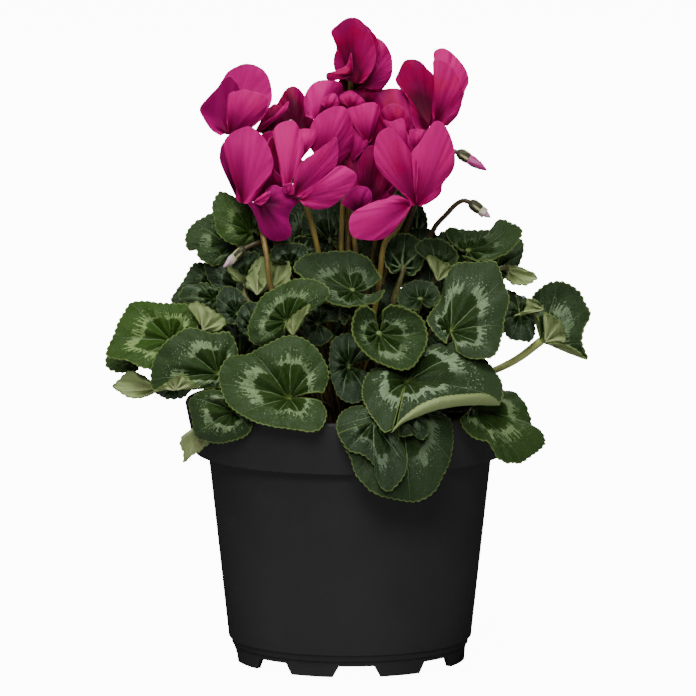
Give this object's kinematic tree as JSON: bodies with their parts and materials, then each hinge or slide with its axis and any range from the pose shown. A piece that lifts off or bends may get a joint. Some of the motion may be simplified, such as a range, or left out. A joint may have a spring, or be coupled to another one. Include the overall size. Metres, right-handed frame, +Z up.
{
  "type": "potted cyclamen",
  "caption": "Flowering cyclamen in a plain round grower's pot: marbled heart-shaped leaves on stalks, reflexed magenta flowers and closed buds over a tuber in soil",
  "frame": {"origin": "on the surface the pot stands on, under the centre of the whole plant, which is the pot's axis", "axes": "+Z up along the pot's axis, -Y towards the viewer, +X to the viewer's right"},
  "size_m": [0.1934, 0.1578, 0.258],
  "materials": {
    "pot": "satin black moulded plastic, fine surface haze",
    "soil": "dark crumbly peat",
    "tuber": "corky brown skin",
    "leaf": "dark green, satin, silver marbling, pale veins, yellow-green margin and pale underside",
    "petal": "magenta, silky, darker at the throat",
    "stem": "brown-olive, faintly hairy",
    "bud": "pale pink to white, twisted"
  },
  "bodies": {
    "root": {"pot": "pot", "soil": "soil", "tuber": "tuber", "leaf_left_pale": "leaf", "leaf_left": "leaf", "leaf_left_turned": "leaf", "leaf_left_low": "leaf", "leaf_left_tip": "leaf", "leaf_front": "leaf", "leaf_front_drooping": "leaf", "leaf_front_right": "leaf", "leaf_heart": "leaf", "leaf_right_low": "leaf", "leaf_right_upright": "leaf", "leaf_left_upper": "leaf", "leaf_middle": "leaf", "leaf_right_cup": "leaf", "leaf_far_right": "leaf", "leaf_right_top": "leaf", "leaf_right_funnel": "leaf", "leaf_right_behind": "leaf", "leaf_top_left": "leaf", "leaf_top_far_left": "leaf", "leaves_inner_front": "leaf", "leaves_inner_left": "leaf", "leaves_middle_left": "leaf", "leaves_behind_left": "leaf", "leaves_behind_middle": "leaf", "leaves_behind_right": "leaf", "leaves_far_behind_right": "leaf", "leaves_back_right": "leaf", "leaves_back_middle_right": "leaf", "leaves_back_middle_left": "leaf", "leaves_back_left": "leaf", "flower_top_left_petals": "petal", "flower_top_left_stem": "stem", "flower_left_behind_petals": "petal", "flower_left_behind_stem": "stem", "flower_top_petals": "petal", "flower_top_stem": "stem", "flower_top_right_petals": "petal", "flower_top_right_stem": "stem", "flower_left_petals": "petal", "flower_left_stem": "stem", "flower_middle_left_petals": "petal", "flower_middle_left_stem": "stem", "flower_middle_petals": "petal", "flower_middle_stem": "stem", "flower_middle_right_petals": "petal", "flower_middle_right_stem": "stem", "flower_low_middle_petals": "petal", "flower_low_middle_stem": "stem", "flower_right_petals": "petal", "flower_right_stem": "stem", "bud_right_upper_petals": "bud", "bud_right_upper_stem": "stem", "bud_right_lower_petals": "bud", "bud_right_lower_stem": "stem", "bud_left_petals": "bud", "bud_left_stem": "stem"}
  },
  "joints": []
}
